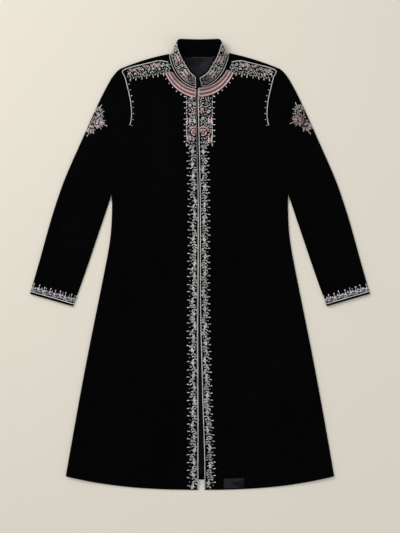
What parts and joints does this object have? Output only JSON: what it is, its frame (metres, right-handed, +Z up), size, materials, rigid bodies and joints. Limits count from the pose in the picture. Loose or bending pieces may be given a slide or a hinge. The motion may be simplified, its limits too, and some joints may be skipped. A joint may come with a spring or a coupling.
{
  "type": "sherwani coat",
  "caption": "Long velvet coat lying flat, front up, with a standing collar, a slit front and sleeves, trimmed with silver cord and a rose neck braid.",
  "frame": {"origin": "centre of the box's underside, on the surface the coat lies on", "axes": "+Z up from the surface to the coat's front, +Y toward the collar, +X toward the wearer's left"},
  "size_m": [0.9212, 1.2189, 0.043],
  "materials": {
    "velvet": "black velvet with a short nap",
    "satin": "charcoal satin, soft gloss",
    "silver_cord": "silver metallic thread cord",
    "rose_braid": "rose and pale pink couched thread"
  },
  "bodies": {
    "root": {"back": "velvet", "back_lining": "satin", "front_left": "velvet", "front_right": "velvet", "sleeve_top_left": "velvet", "sleeve_top_right": "velvet", "sleeve_under_left": "velvet", "sleeve_under_right": "velvet", "collar_band": "velvet", "collar_facing": "velvet", "collar_cord_left": "silver_cord", "collar_cord_right": "silver_cord", "front_edge_cord_left": "silver_cord", "front_edge_cord_right": "silver_cord", "shoulder_cord_left": "silver_cord", "shoulder_cord_right": "silver_cord", "cuff_cord_left": "silver_cord", "cuff_cord_right": "silver_cord", "neck_braid_left": "rose_braid", "neck_braid_right": "rose_braid", "hem_label": "satin"}
  },
  "joints": []
}
